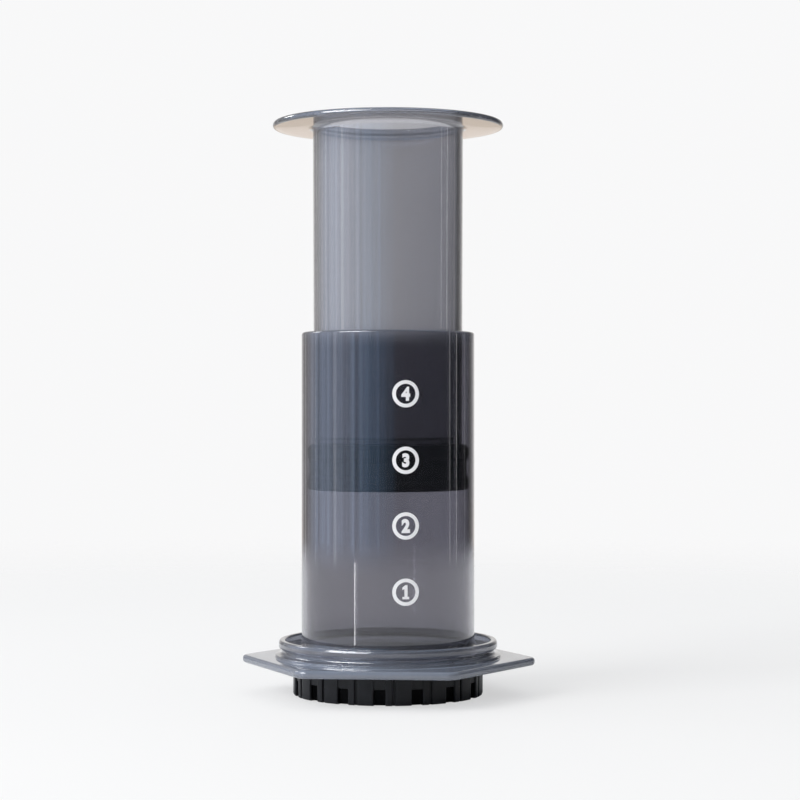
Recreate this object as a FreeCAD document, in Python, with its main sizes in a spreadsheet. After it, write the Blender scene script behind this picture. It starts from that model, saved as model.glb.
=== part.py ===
import FreeCAD, Part
import Sketcher
import math
import os

# A hand press coffee maker. Millimetres, +Z up, the axis of the tubes on Z,
# z = 0 where the filter cap stands. The plunger is drawn half way up its stroke.

os.makedirs("parts", exist_ok=True)
doc = FreeCAD.newDocument("HandPress")

# The driving sizes: name, value, meaning. Angles are in degrees.
SIZES = (
    ("chamber_diameter", 63.5, "outside of the brewing tube"),
    ("chamber_wall", 1.9, "wall of the brewing tube"),
    ("chamber_height", 132.6, "rim of the brewing tube above the table"),
    ("rim_bevel", 0.6, "bevel of the tube's rim"),
    ("foot_round", 3.0, "rounding where the tube meets the moat"),
    ("spigot_gap", 0.1, "tube's lower end to the paper filter"),
    ("plate_underside", 10.8, "underside of the hexagonal flange above the table"),
    ("plate_thickness", 2.9, "thickness of the hexagonal flange"),
    ("plate_reach", 7.25, "flat of the hexagon beyond the ring"),
    ("plate_corner", 5.5, "rounding of the hexagon's corners"),
    ("plate_edge", 1.2, "rounding of the flange's edges"),
    ("plate_root", 1.1, "rounding where the ring meets the flange"),
    ("ring_skirt", 1.6, "wall of the ring round the cap"),
    ("ring_bead", 1.9, "bead of the ring beyond its waist"),
    ("ring_lip", 2.4, "width of the ring's lip"),
    ("ring_lip_height", 2.9, "lip of the ring above the moat's floor"),
    ("ring_slope", 2.4, "height in which the ring widens to its bead"),
    ("ring_bevel", 0.75, "bevel of the ring's lip"),
    ("moat_floor", 1.6, "thickness of the moat's floor"),
    ("ledge_height", 2.1, "height of a bayonet ledge"),
    ("ledge_angle", 26.0, "width of a bayonet ledge"),
    ("ledge_play", 0.3, "bayonet ledge to the cap's wall"),
    ("stop_angle", 3.2, "width of the stop at a ledge's end"),
    ("stop_play", 0.4, "angle between a locked lug and its stop"),
    ("lug_count", 6, "bayonet lugs and ledges"),
    ("lug_angle", 18.0, "width of a bayonet lug"),
    ("lug_height", 2.0, "height of a bayonet lug"),
    ("lug_reach", 1.5, "lug beyond the cap's wall"),
    ("lug_play", 0.2, "height between a lug and its ledge"),
    ("lug_side_play", 0.35, "lug to the ring's skirt"),
    ("lug_headroom", 0.4, "cap's top to the moat's floor"),
    ("cap_play", 0.4, "cap's wall to the brewing tube"),
    ("cap_wall", 2.65, "wall of the filter cap"),
    ("cap_floor", 2.6, "thickness of the perforated floor"),
    ("cap_floor_lift", 1.2, "underside of the perforated floor above the table"),
    ("cap_foot", 1.5, "foot of the cap inside its wall"),
    ("cap_bevel", 0.5, "bevel of the cap's lower edge"),
    ("grip_count", 16, "finger windows round the cap"),
    ("window_angle", 7.0, "width of a finger window"),
    ("window_height", 5.6, "height of a finger window"),
    ("window_depth", 1.7, "depth of a finger window"),
    ("band_depth", 0.5, "depth of the groove above a finger window"),
    ("groove_angle", 1.8, "width of a thin groove"),
    ("groove_depth", 0.8, "depth of a thin groove"),
    ("groove_turn", 8.4, "thin groove from the middle of its window"),
    ("grip_top", 0.5, "top of the grip below the bayonet lugs"),
    ("hole_diameter", 1.7, "hole of the perforated floor"),
    ("hole_pitch", 5.2, "from one ring of holes to the next"),
    ("hole_rings", 5, "rings of holes round the middle one"),
    ("paper_thickness", 0.2, "paper filter"),
    ("paper_play", 0.4, "paper filter to the cap's wall"),
    ("seal_play", 0.1, "seal to the brewing tube, and to the plunger"),
    ("seal_height", 17.1, "seal from its face to its top"),
    ("seal_crown", 0.6, "crown of the seal's face"),
    ("seal_lip", 4.6, "height of the lower sealing lip"),
    ("seal_bead", 3.0, "height of the upper sealing bead"),
    ("seal_relief", 0.9, "depth of the relief between lip and bead"),
    ("seal_slope", 1.6, "height in which the relief ends at lip and bead"),
    ("seal_collar", 1.2, "seal's top beyond the plunger's tube"),
    ("seal_face", 3.0, "thickness of the seal's face"),
    ("seal_bevel", 0.8, "bevel of the seal's face"),
    ("plunger_rest", 74.4, "seal's face above the table as drawn"),
    ("plunger_play", 2.6, "plunger's tube to the brewing tube"),
    ("plunger_wall", 2.0, "wall of the plunger"),
    ("plunger_draft", 0.35, "radius that the plunger gains up to its flange"),
    ("disc_thickness", 2.5, "disc that holds the seal"),
    ("disc_step", 2.2, "disc inside the plunger's tube"),
    ("neck_step", 5.7, "neck inside the plunger's tube"),
    ("press_gap", 0.3, "seal's face to the paper filter, pressed home"),
    ("flange_standoff", 4.8, "flange above the brewing tube, pressed home"),
    ("flange_reach", 14.75, "flange beyond the plunger's tube"),
    ("flange_edge", 2.1, "thickness of the flange at its edge"),
    ("flange_crown", 1.1, "rise of the flange from its edge to the mouth"),
    ("flange_bevel", 0.75, "bevel of the flange's edge and of the mouth"),
    ("flange_root", 1.6, "bevel where the tube meets its flange"),
)

# Radii and heights that follow from the driving sizes. Heights are above the
# table, and those that start with plunger or seal are above the seal's face.
PLACES = (
    ("chamber_radius", "Sizes.chamber_diameter / 2"),
    ("bore_radius", "Places.chamber_radius - Sizes.chamber_wall"),
    ("cap_inner_radius", "Places.chamber_radius + Sizes.cap_play"),
    ("cap_radius", "Places.cap_inner_radius + Sizes.cap_wall"),
    ("cap_foot_radius", "Places.cap_inner_radius - Sizes.cap_foot"),
    ("lug_radius", "Places.cap_radius + Sizes.lug_reach"),
    ("lug_root_radius", "Places.cap_radius - Sizes.cap_wall / 2"),
    ("recess_radius", "Places.lug_radius + Sizes.lug_side_play"),
    ("ledge_radius", "Places.cap_radius + Sizes.ledge_play"),
    ("skirt_middle_radius", "Places.recess_radius + Sizes.ring_skirt / 2"),
    ("waist_radius", "Places.recess_radius + Sizes.ring_skirt"),
    ("ring_radius", "Places.waist_radius + Sizes.ring_bead"),
    ("lip_inner_radius", "Places.ring_radius - Sizes.ring_lip"),
    ("plate_apothem", "Places.ring_radius + Sizes.plate_reach"),
    ("floor_top", "Sizes.cap_floor_lift + Sizes.cap_floor"),
    ("paper_top", "Places.floor_top + Sizes.paper_thickness"),
    ("spigot_end", "Places.paper_top + Sizes.spigot_gap"),
    ("plate_top", "Sizes.plate_underside + Sizes.plate_thickness"),
    ("ledge_top", "Sizes.plate_underside + Sizes.ledge_height"),
    ("lug_bottom", "Places.ledge_top + Sizes.lug_play"),
    ("cap_top", "Places.lug_bottom + Sizes.lug_height"),
    ("recess_top", "Places.cap_top + Sizes.lug_headroom"),
    ("moat_bottom", "Places.recess_top + Sizes.moat_floor"),
    ("lip_top", "Places.moat_bottom + Sizes.ring_lip_height"),
    ("bead_bottom", "Places.moat_bottom + Sizes.ring_lip_height / 10"),
    ("waist_top", "Places.bead_bottom - Sizes.ring_slope"),
    ("grip_end", "Places.lug_bottom - Sizes.grip_top"),
    ("seal_radius", "Places.bore_radius - Sizes.seal_play"),
    ("relief_radius", "Places.seal_radius - Sizes.seal_relief"),
    ("tube_radius", "Places.bore_radius - Sizes.plunger_play"),
    ("tube_top_radius", "Places.tube_radius + Sizes.plunger_draft"),
    ("neck_radius", "Places.tube_radius - Sizes.neck_step"),
    ("disc_radius", "Places.tube_radius - Sizes.disc_step"),
    ("flange_radius", "Places.tube_top_radius + Sizes.flange_reach"),
    ("seal_top_radius", "Places.tube_radius + Sizes.seal_collar"),
    ("plunger_end", "Sizes.seal_face + Sizes.seal_play"),
    ("plunger_floor", "Places.plunger_end + Sizes.disc_thickness"),
    ("plunger_shoulder", "Sizes.seal_height + Sizes.seal_play"),
    ("plunger_pressed", "Places.paper_top + Sizes.press_gap"),
    ("flange_underside", "Sizes.chamber_height + Sizes.flange_standoff - Places.plunger_pressed"),
    ("flange_edge_top", "Places.flange_underside + Sizes.flange_edge"),
    ("mouth_height", "Places.flange_edge_top + Sizes.flange_crown"),
    ("mouth_radius", "Places.tube_top_radius - Sizes.plunger_wall"),
    ("neck_inner_radius", "Places.neck_radius - Sizes.plunger_wall"),
)


def fill_sheets():
    """Write the driving sizes as plain numbers, and the places as formulas."""
    sizes = doc.addObject("Spreadsheet::Sheet", "Sizes")
    for row, (alias, number, meaning) in enumerate(SIZES, 1):
        sizes.set("A%d" % row, meaning)
        sizes.set("B%d" % row, str(number))
        sizes.setAlias("B%d" % row, alias)
    places = doc.addObject("Spreadsheet::Sheet", "Places")
    for row, (alias, formula) in enumerate(PLACES, 1):
        places.set("A%d" % row, alias.replace("_", " "))
        places.setAlias("B%d" % row, alias)
    for row, (alias, formula) in enumerate(PLACES, 1):
        places.set("B%d" % row, "=" + formula.replace("Places.", ""))
    doc.recompute()
    return sizes


def number(formula):
    """The present value of a formula."""
    return float(sheet.evalExpression(formula))


def start_body(label):
    """An empty body with its own label and placement."""
    body = doc.addObject("PartDesign::Body", label)
    body.Label = label
    body.Placement = FreeCAD.Placement()
    return body


def origin_feature(body, role):
    """A plane or an axis of the body's own origin."""
    for feature in body.Origin.OriginFeatures:
        if feature.Role == role:
            return feature
    raise ValueError(role)


def start_sketch(body, name, role, turn=None):
    """A sketch on a plane of the body, turned about the Z axis if asked."""
    sketch = body.newObject("Sketcher::SketchObject", name)
    sketch.AttachmentSupport = [(origin_feature(body, role), "")]
    sketch.MapMode = "FlatFace"
    if turn is not None:
        upright = FreeCAD.Vector(0, 1, 0)
        sketch.AttachmentOffset = FreeCAD.Placement(
            FreeCAD.Vector(), FreeCAD.Rotation(upright, number(turn)))
        sketch.setExpression("AttachmentOffset.Rotation.Angle", turn)
    return sketch


def pinned(line, end, axis, formula):
    """The constraint that holds a line's end at a distance along one axis."""
    if formula == "0":
        own_axis = -2 if axis == 0 else -1
        return Sketcher.Constraint("PointOnObject", line, end, own_axis)
    kind = "DistanceX" if axis == 0 else "DistanceY"
    return Sketcher.Constraint(kind, -1, 1, line, end, number(formula))


def constrain(sketch, pairs):
    """Add constraints, each paired with the formula of its size or None."""
    first = sketch.ConstraintCount
    sketch.addConstraint([constraint for constraint, formula in pairs])
    for index, (constraint, formula) in enumerate(pairs, first):
        if formula not in (None, "0"):
            sketch.setExpression("Constraints[%d]" % index, formula)


def arc_between(first, second, radius):
    """The shorter arc from first to second that bulges to the right of the way."""
    start = FreeCAD.Vector(first[0], first[1], 0)
    stop = FreeCAD.Vector(second[0], second[1], 0)
    chord = stop - start
    half = chord.Length / 2
    side = FreeCAD.Vector(-chord.y, chord.x, 0).normalize()
    middle = (start + stop) * 0.5
    centre = middle + side * math.sqrt(radius * radius - half * half)
    begin = math.atan2(start.y - centre.y, start.x - centre.x)
    finish = math.atan2(stop.y - centre.y, stop.x - centre.x)
    circle = Part.Circle(centre, FreeCAD.Vector(0, 0, 1), radius)
    return Part.ArcOfCircle(circle, begin, finish)


def closed_outline(sketch, corners):
    """A closed outline through corners given as formulas, drawn anticlockwise.

    A third item in a corner is the radius of an arc from there to the next corner.
    """
    first = sketch.GeometryCount
    count = len(corners)
    points = [(number(corner[0]), number(corner[1])) for corner in corners]
    lines = []
    pairs = []
    for index, corner in enumerate(corners):
        here = points[index]
        there = points[(index + 1) % count]
        line = first + index
        following = first + (index + 1) % count
        pairs.append((Sketcher.Constraint("Coincident", line, 2, following, 1), None))
        pairs.append((pinned(line, 1, 0, corner[0]), corner[0]))
        pairs.append((pinned(line, 1, 1, corner[1]), corner[1]))
        if len(corner) == 3:
            radius = number(corner[2])
            lines.append(arc_between(here, there, radius))
            pairs.append((Sketcher.Constraint("Radius", line, radius), corner[2]))
        else:
            start = FreeCAD.Vector(here[0], here[1], 0)
            stop = FreeCAD.Vector(there[0], there[1], 0)
            lines.append(Part.LineSegment(start, stop))
    sketch.addGeometry(lines)
    constrain(sketch, pairs)


def revolve(body, name, corners, angle="360", turn=None, cut=False):
    """Turn an outline in the XZ plane about Z, as added or cut material."""
    sketch = start_sketch(body, name + "_outline", "XZ_Plane", turn)
    closed_outline(sketch, corners)
    kind = "PartDesign::Groove" if cut else "PartDesign::Revolution"
    feature = body.newObject(kind, name)
    feature.Profile = sketch
    feature.ReferenceAxis = (origin_feature(body, "Z_Axis"), [""])
    feature.Midplane = angle != "360"
    feature.Angle = number(angle)
    feature.setExpression("Angle", angle)
    doc.recompute()
    return feature


def block(inner, outer, bottom, top):
    """The four corners of an upright rectangle in the XZ plane."""
    return ((inner, bottom), (outer, bottom), (outer, top), (inner, top))


def repeat_round(body, name, features, count):
    """Repeat features evenly round the Z axis."""
    pattern = body.newObject("PartDesign::PolarPattern", name)
    pattern.Originals = features
    pattern.Axis = (origin_feature(body, "Z_Axis"), [""])
    pattern.Angle = 360
    pattern.Occurrences = int(number(count))
    pattern.setExpression("Occurrences", count)
    body.Tip = pattern
    doc.recompute()
    return pattern


def dress(body, kind, name, size, chosen):
    """Round or bevel the edges of the body's last feature that the test picks."""
    base = body.Tip
    edges = []
    for index, edge in enumerate(base.Shape.Edges, 1):
        if chosen(edge):
            edges.append("Edge%d" % index)
    if not edges:
        raise ValueError(name + " has no edge to dress")
    feature = body.newObject("PartDesign::" + kind, name)
    feature.Base = (base, edges)
    measure = "Radius" if kind == "Fillet" else "Size"
    feature.setExpression(measure, size)
    doc.recompute()
    return feature


def circle_at(*rings):
    """A test for circular edges at given radii and heights."""
    wanted = [(number(radius), number(height)) for radius, height in rings]

    def test(edge):
        if edge.Degenerated or not isinstance(edge.Curve, Part.Circle):
            return False
        for radius, height in wanted:
            same_radius = abs(edge.Curve.Radius - radius) < 0.001
            same_height = abs(edge.Curve.Center.z - height) < 0.001
            if same_radius and same_height:
                return True
        return False
    return test


def build_chamber():
    """Brewing tube with its ring, moat, hexagonal flange and bayonet ledges."""
    body = start_body("chamber")
    revolve(body, "tube_and_ring", (
        ("Places.bore_radius", "Places.spigot_end"),
        ("Places.chamber_radius", "Places.spigot_end"),
        ("Places.chamber_radius", "Places.recess_top"),
        ("Places.recess_radius", "Places.recess_top"),
        ("Places.recess_radius", "Sizes.plate_underside"),
        ("Places.waist_radius", "Sizes.plate_underside"),
        ("Places.waist_radius", "Places.waist_top"),
        ("Places.ring_radius", "Places.bead_bottom"),
        ("Places.ring_radius", "Places.lip_top"),
        ("Places.lip_inner_radius", "Places.lip_top"),
        ("Places.lip_inner_radius", "Places.moat_bottom"),
        ("Places.chamber_radius", "Places.moat_bottom"),
        ("Places.chamber_radius", "Sizes.chamber_height"),
        ("Places.bore_radius", "Sizes.chamber_height")))
    dress(body, "Fillet", "foot", "Sizes.foot_round", circle_at(
        ("Places.chamber_radius", "Places.moat_bottom")))
    dress(body, "Chamfer", "lip", "Sizes.ring_bevel", circle_at(
        ("Places.ring_radius", "Places.lip_top"),
        ("Places.lip_inner_radius", "Places.lip_top")))
    dress(body, "Chamfer", "rim", "Sizes.rim_bevel", circle_at(
        ("Places.chamber_radius", "Sizes.chamber_height"),
        ("Places.bore_radius", "Sizes.chamber_height")))
    add_plate(body)
    add_ledges(body)
    return body


def add_plate(body):
    """The hexagonal flange round the ring, its corners on the X axis."""
    sketch = start_sketch(body, "plate_outline", "XY_Plane")
    sketch.AttachmentOffset = FreeCAD.Placement(
        FreeCAD.Vector(0, 0, number("Sizes.plate_underside")), FreeCAD.Rotation())
    sketch.setExpression("AttachmentOffset.Base.z", "Sizes.plate_underside")
    corner_radius = "Places.plate_apothem / cos(30)"
    corners = []
    for step in range(6):
        along = "%s * cos(%d)" % (corner_radius, 60 * step)
        across = "%s * sin(%d)" % (corner_radius, 60 * step)
        corners.append((along, across if step % 3 else "0"))
    closed_outline(sketch, corners)
    opening_radius = number("Places.skirt_middle_radius")
    up = FreeCAD.Vector(0, 0, 1)
    opening = sketch.addGeometry(Part.Circle(FreeCAD.Vector(), up, opening_radius))
    constrain(sketch, (
        (Sketcher.Constraint("Coincident", opening, 3, -1, 1), None),
        (Sketcher.Constraint("Radius", opening, opening_radius), "Places.skirt_middle_radius")))
    plate = body.newObject("PartDesign::Pad", "plate")
    plate.Profile = sketch
    plate.Length = number("Sizes.plate_thickness")
    plate.setExpression("Length", "Sizes.plate_thickness")
    doc.recompute()
    middle_height = number("Sizes.plate_underside + Sizes.plate_thickness / 2")
    reach = number("Places.plate_apothem")

    def upright_corner(edge):
        centre = edge.CenterOfMass
        far_out = math.hypot(centre.x, centre.y) > reach
        return far_out and abs(centre.z - middle_height) < 0.01

    def outer_edge(edge):
        centre = edge.CenterOfMass
        far_out = all(math.hypot(p.x, p.y) > reach - 0.01 for p in edge.discretize(3))
        return far_out and abs(centre.z - middle_height) > 0.1

    dress(body, "Fillet", "plate_corners", "Sizes.plate_corner", upright_corner)
    dress(body, "Fillet", "plate_edges", "Sizes.plate_edge", outer_edge)
    dress(body, "Fillet", "plate_root", "Sizes.plate_root", circle_at(
        ("Places.waist_radius", "Places.plate_top")))


def add_ledges(body):
    """The bayonet ledges under the ring, each with a stop at one end."""
    ledge = revolve(body, "ledge", block(
        "Places.ledge_radius", "Places.skirt_middle_radius",
        "Sizes.plate_underside", "Places.ledge_top"), "Sizes.ledge_angle")
    repeat_round(body, "ledges", [ledge], "Sizes.lug_count")
    stop_middle = "Sizes.lug_angle / 2 + Sizes.stop_play + Sizes.stop_angle / 2"
    stop = revolve(body, "stop", block(
        "Places.ledge_radius", "Places.skirt_middle_radius",
        "Sizes.plate_underside", "Places.recess_top + Sizes.moat_floor / 2"),
        "Sizes.stop_angle", stop_middle)
    repeat_round(body, "stops", [stop], "Sizes.lug_count")


def build_filter_cap():
    """Filter cap with its perforated floor, finger grip and bayonet lugs."""
    body = start_body("filter_cap")
    revolve(body, "cup", (
        ("0", "Sizes.cap_floor_lift"),
        ("Places.cap_foot_radius", "Sizes.cap_floor_lift"),
        ("Places.cap_foot_radius", "0"),
        ("Places.cap_radius", "0"),
        ("Places.cap_radius", "Places.cap_top"),
        ("Places.cap_inner_radius", "Places.cap_top"),
        ("Places.cap_inner_radius", "Places.floor_top"),
        ("0", "Places.floor_top")))
    dress(body, "Chamfer", "lower_edge", "Sizes.cap_bevel", circle_at(("Places.cap_radius", "0")))
    lug = revolve(body, "lug", block(
        "Places.lug_root_radius", "Places.lug_radius",
        "Places.lug_bottom", "Places.cap_top"), "Sizes.lug_angle")
    repeat_round(body, "lugs", [lug], "Sizes.lug_count")
    add_grip(body)
    add_perforation(body)
    return body


def add_grip(body):
    """Finger windows with a shallow groove above each, and thin grooves between."""
    beyond = "Places.cap_radius + Sizes.band_depth"
    below = "-Sizes.cap_floor_lift"
    window = revolve(body, "window", block(
        "Places.cap_radius - Sizes.window_depth", beyond, below, "Sizes.window_height"),
        "Sizes.window_angle", cut=True)
    repeat_round(body, "windows", [window], "Sizes.grip_count")
    band = revolve(body, "band", block(
        "Places.cap_radius - Sizes.band_depth", beyond, below, "Places.grip_end"),
        "Sizes.window_angle", cut=True)
    repeat_round(body, "bands", [band], "Sizes.grip_count")
    groove = revolve(body, "groove", block(
        "Places.cap_radius - Sizes.groove_depth", beyond, below, "Places.grip_end"),
        "Sizes.groove_angle", "Sizes.groove_turn", cut=True)
    repeat_round(body, "grooves", [groove], "Sizes.grip_count")


def small_hole(sketch, ring, angle):
    """An eight-sided hole in a ring of the floor, at an angle round the axis."""
    sides = 8
    half_width = "(Sizes.hole_diameter / 2)"
    distance = "Sizes.hole_pitch * %d" % ring
    corners = []
    for side in range(sides):
        corner_angle = 360 / sides * (side + 0.5)
        along = "%s * cos(%g) + %s * cos(%g)" % (distance, angle, half_width, corner_angle)
        across = "%s * sin(%g) + %s * sin(%g)" % (distance, angle, half_width, corner_angle)
        corners.append((along, across))
    closed_outline(sketch, corners)


def holes_of_ring(body, ring, angles):
    """Cut the holes of one ring that stand at the given angles."""
    sketch = start_sketch(body, "hole_outline_%d" % ring, "XY_Plane")
    for angle in angles:
        small_hole(sketch, ring, angle)
    pocket = body.newObject("PartDesign::Pocket", "holes_%d" % ring)
    pocket.Profile = sketch
    pocket.Type = "ThroughAll"
    pocket.Midplane = True
    doc.recompute()
    return pocket


def add_perforation(body):
    """Small holes through the floor, six more in each ring, cut for one sixth."""
    sixths = 6
    holes_of_ring(body, 0, (0,))
    pockets = []
    for ring in range(1, int(number("Sizes.hole_rings")) + 1):
        angles = [360 / sixths * place / ring for place in range(ring)]
        pockets.append(holes_of_ring(body, ring, angles))
    repeat_round(body, "holes", pockets, "%d" % sixths)


def build_paper_filter():
    """The round paper filter, lying on the cap's floor."""
    body = start_body("paper_filter")
    body.Placement.Base.z = number("Places.floor_top")
    body.setExpression("Placement.Base.z", "Places.floor_top")
    revolve(body, "paper", (
        ("0", "0"),
        ("Places.cap_inner_radius - Sizes.paper_play", "0"),
        ("Places.cap_inner_radius - Sizes.paper_play", "Sizes.paper_thickness"),
        ("0", "Sizes.paper_thickness")))
    return body


def build_plunger():
    """Open plunger tube with its flange, its neck and the disc for the seal."""
    body = start_body("plunger")
    body.Placement.Base.z = number("Sizes.plunger_rest")
    body.setExpression("Placement.Base.z", "Sizes.plunger_rest")
    shoulder_top = "Places.plunger_shoulder + Sizes.plunger_wall"
    mouth_edge = "Places.mouth_radius + 2 * Sizes.flange_bevel"
    crown_width = "(Places.flange_radius - (%s))" % mouth_edge
    crown_radius = "(%s ^ 2 + Sizes.flange_crown ^ 2) / (2 * Sizes.flange_crown)" % crown_width
    revolve(body, "tube_and_flange", (
        ("0", "Places.plunger_end"),
        ("Places.disc_radius", "Places.plunger_end"),
        ("Places.disc_radius", "Places.plunger_floor"),
        ("Places.neck_radius", "Places.plunger_floor"),
        ("Places.neck_radius", "Places.plunger_shoulder"),
        ("Places.tube_radius", "Places.plunger_shoulder"),
        ("Places.tube_top_radius", "Places.flange_underside"),
        ("Places.flange_radius", "Places.flange_underside"),
        ("Places.flange_radius", "Places.flange_edge_top", crown_radius),
        (mouth_edge, "Places.mouth_height"),
        ("Places.mouth_radius", "Places.mouth_height"),
        ("Places.tube_radius - Sizes.plunger_wall", shoulder_top),
        ("Places.neck_inner_radius", shoulder_top),
        ("Places.neck_inner_radius", "Places.plunger_floor"),
        ("0", "Places.plunger_floor")))
    dress(body, "Chamfer", "under_flange", "Sizes.flange_root", circle_at(
        ("Places.tube_top_radius", "Places.flange_underside")))
    dress(body, "Chamfer", "flange_edges", "Sizes.flange_bevel", circle_at(
        ("Places.flange_radius", "Places.flange_underside"),
        ("Places.flange_radius", "Places.flange_edge_top"),
        ("Places.mouth_radius", "Places.mouth_height")))
    return body


def build_plunger_seal():
    """Rubber seal, stretched over the plunger's disc and neck."""
    body = start_body("plunger_seal")
    body.Placement.Base.z = number("Sizes.plunger_rest")
    body.setExpression("Placement.Base.z", "Sizes.plunger_rest")
    crown_radius = "(Places.seal_radius ^ 2 + Sizes.seal_crown ^ 2) / (2 * Sizes.seal_crown)"
    relief_bottom = "Sizes.seal_lip + Sizes.seal_slope"
    bead_top = "Sizes.seal_height - Sizes.seal_slope"
    bead_bottom = "%s - Sizes.seal_bead" % bead_top
    pocket_top = "Places.plunger_floor + Sizes.seal_play"
    neck_hole = "Places.neck_radius + Sizes.seal_play"
    pocket_radius = "Places.disc_radius + Sizes.seal_play"
    revolve(body, "seal", (
        ("0", "0", crown_radius),
        ("Places.seal_radius", "Sizes.seal_crown"),
        ("Places.seal_radius", "Sizes.seal_lip"),
        ("Places.relief_radius", relief_bottom),
        ("Places.relief_radius", bead_bottom + " - Sizes.seal_slope"),
        ("Places.seal_radius", bead_bottom),
        ("Places.seal_radius", bead_top),
        ("Places.seal_top_radius", "Sizes.seal_height"),
        (neck_hole, "Sizes.seal_height"),
        (neck_hole, pocket_top),
        (pocket_radius, pocket_top),
        (pocket_radius, "Sizes.seal_face"),
        ("0", "Sizes.seal_face")))
    dress(body, "Chamfer", "face_edge", "Sizes.seal_bevel", circle_at(
        ("Places.seal_radius", "Sizes.seal_crown")))
    return body


def check_objects():
    """Stop if an object failed or has no sound shape."""
    for item in doc.Objects:
        if "Invalid" in item.State or "Error" in item.State:
            raise RuntimeError(item.Name + " failed")


def write_parts(bodies):
    """Write each sub-part to its own file once all of them are sound."""
    for body in bodies:
        shape = body.Shape
        if shape.isNull() or not shape.isValid() or len(shape.Solids) != 1:
            raise RuntimeError(body.Label + " has no sound solid")
    for body in bodies:
        body.Shape.exportStep("parts/%s.step" % body.Label)
        low = body.Shape.BoundBox.ZMin
        high = body.Shape.BoundBox.ZMax
        print("%s volume %.1f z %.2f to %.2f" % (body.Label, body.Shape.Volume, low, high))


sheet = fill_sheets()
BODIES = (
    build_chamber(),
    build_plunger(),
    build_plunger_seal(),
    build_filter_cap(),
    build_paper_filter(),
)
doc.recompute()
check_objects()
write_parts(BODIES)
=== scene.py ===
"""Looks of the hand press coffee maker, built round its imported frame."""

import math

import bmesh
import bpy
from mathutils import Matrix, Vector
from mathutils.geometry import tessellate_polygon


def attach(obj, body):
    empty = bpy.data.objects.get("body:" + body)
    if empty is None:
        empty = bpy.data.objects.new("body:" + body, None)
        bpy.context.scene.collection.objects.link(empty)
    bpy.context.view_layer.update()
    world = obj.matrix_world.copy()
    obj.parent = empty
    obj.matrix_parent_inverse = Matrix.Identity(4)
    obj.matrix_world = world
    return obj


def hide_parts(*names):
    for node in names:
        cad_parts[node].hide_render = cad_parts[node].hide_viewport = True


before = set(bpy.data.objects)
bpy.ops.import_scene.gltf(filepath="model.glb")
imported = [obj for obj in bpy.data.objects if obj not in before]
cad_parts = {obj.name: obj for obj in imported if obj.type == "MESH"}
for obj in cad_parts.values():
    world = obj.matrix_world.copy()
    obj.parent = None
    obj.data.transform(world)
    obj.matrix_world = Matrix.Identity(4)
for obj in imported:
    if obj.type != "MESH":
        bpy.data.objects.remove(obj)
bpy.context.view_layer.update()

MM = 0.001

# Sizes are in millimetres and degrees, radii from the axis and heights above the
# table, as in the solids.

SIXTH = 60.0
ARC_STEPS = 5

# Brewing tube. The two wall heights only divide its straight walls.
TUBE = 31.75
BORE = 29.85
RIM = 132.6
TUBE_END = 4.1
LOW_WALL = 60.0
HIGH_WALL = 100.0

# Ring round its foot, with a lip, a bead, a waist, a skirt and a moat.
LIP_INNER = 37.75
LIP_TOP = 20.0
RING = 40.15
BEAD_BOTTOM = 17.3
BEAD_TOP = 18.9
WAIST = 39.1
WAIST_TOP = 16.7
WAIST_FOOT = 39.35
WAIST_BOTTOM = 15.0
SKIRT = 41.3
SKIRT_TOP = 14.75
MOAT_FLOOR = 17.1
MOAT_ROUND = 3.0

# Hexagonal flange.
PLATE_BOTTOM = 10.8
PLATE_TOP = 13.7
PLATE_START = 43.5
PLATE_APOTHEM = 47.38
PLATE_CORNER = 5.5
PLATE_EDGE = 1.2

# Recess under the ring, with the bayonet's ledges and their stops.
RECESS = 36.65
RECESS_TOP = 15.5
RECESS_BEVEL = 0.25
LEDGE = 35.1
LEDGE_TOP = 12.9
LEDGE_HALF_ANGLE = 13.0
LEDGE_EASE = 0.2
STOP_ANGLE = 11.0
STOP_HALF_ANGLE = 1.6

# Filter cap.
CAP = 34.8
CAP_INNER = 32.15
CAP_FOOT = 30.65
CAP_FOOT_ROUND = 0.5
CAP_FLOOR_BOTTOM = 1.2
CAP_FLOOR_TOP = 3.8
CAP_TOP = 15.1
CAP_TOP_BEVEL = 0.25
CAP_SLANT = 0.12
LUG = 36.3
LUG_BOTTOM = 13.1
LUG_HALF_ANGLE = 9.0
WINDOWS = 16
WINDOW_HALF_ANGLE = 3.5
WINDOW_DEPTH = 1.7
WINDOW_TOP = 5.6
BAND_DEPTH = 0.5
GROOVE_TURN = 8.4
GROOVE_HALF_ANGLE = 0.9
GROOVE_DEPTH = 0.8
GRIP_TOP = 12.6
PERFORATED = 29.0
HOLE = 0.85
HOLE_BEVEL = 0.14
HOLE_SIDES = 20
HOLE_PITCH = 5.2
HOLE_RINGS = 5
WELD = 0.00001

# Paper filter.
PAPER = 31.7
PAPER_BOTTOM = CAP_FLOOR_TOP + 0.005
PAPER_TOP = CAP_FLOOR_TOP + 0.195

# Plunger as drawn, half way down.
SEAL_FACE = 74.4
DISC = 25.05
DISC_BOTTOM = SEAL_FACE + 3.1
DISC_TOP = SEAL_FACE + 5.6
NECK = 21.55
NECK_BORE = 19.55
SHOULDER = SEAL_FACE + 17.2
INNER_SHOULDER = SEAL_FACE + 19.2
PLUNGER_FOOT = 27.25
PLUNGER = 27.6
PLUNGER_BORE = 25.25
PLUNGER_MOUTH = 25.6
FLANGE = 42.35
FLANGE_BOTTOM = SEAL_FACE + 133.1
FLANGE_EDGE = SEAL_FACE + 135.28
FLANGE_SLOPE = SEAL_FACE + 135.62
FLANGE_TOP = SEAL_FACE + 136.27
FLANGE_DOME_INNER = 27.2
FLANGE_DOME_OUTER = 38.0
FLANGE_DOME_RISE = 0.6

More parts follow.
